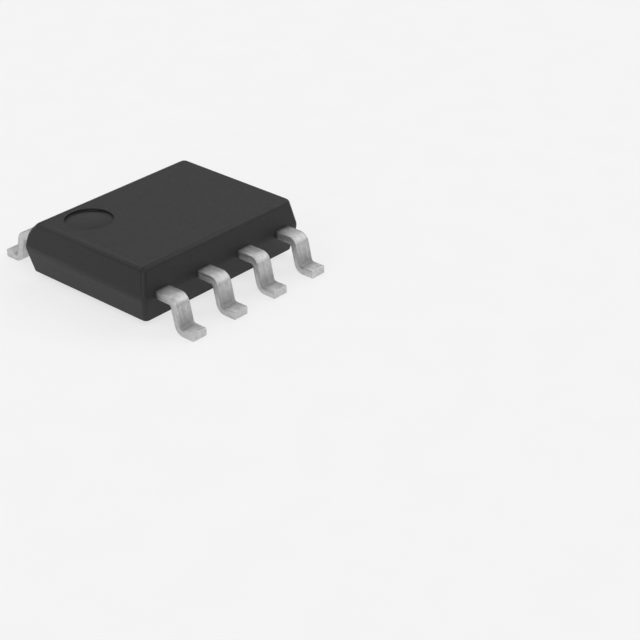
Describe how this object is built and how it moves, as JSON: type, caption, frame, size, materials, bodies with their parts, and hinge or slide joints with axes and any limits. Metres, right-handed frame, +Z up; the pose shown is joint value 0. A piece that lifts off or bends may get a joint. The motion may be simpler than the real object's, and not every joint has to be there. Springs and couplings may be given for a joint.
{
  "type": "surface-mount reset controller chip",
  "caption": "Small-outline surface-mount supervisor chip: bevelled black moulded body with gull-wing leads in two rows, for soldering flat on a board.",
  "frame": {"origin": "on the seating plane, which the soles of all feet touch, under the middle of the body and of both rows of leads", "axes": "+X along the body and the rows of leads, away from the end with the index mark; +Y across the body to the bevelled side; +Z up, away from the board"},
  "size_m": [0.005, 0.0062, 0.0014],
  "materials": {
    "mould_compound": "spark-eroded matte black epoxy",
    "tinned_lead": "matte tin plating on copper alloy",
    "lead_frame": "rolled copper alloy",
    "adhesive": "silver-filled epoxy",
    "silicon": "polished silicon",
    "gold_wire": "drawn gold"
  },
  "bodies": {
    "root": {"mould_body": "mould_compound", "lead_1": "tinned_lead", "lead_2": "tinned_lead", "lead_3": "tinned_lead", "lead_4": "tinned_lead", "lead_5": "tinned_lead", "lead_6": "tinned_lead", "lead_7": "tinned_lead", "lead_8": "tinned_lead", "die_pad": "lead_frame", "die_attach": "adhesive", "die": "silicon", "bond_wire_1": "gold_wire", "bond_wire_2": "gold_wire", "bond_wire_3": "gold_wire", "bond_wire_4": "gold_wire", "bond_wire_5": "gold_wire", "bond_wire_6": "gold_wire", "bond_wire_7": "gold_wire", "bond_wire_8": "gold_wire"}
  },
  "joints": []
}
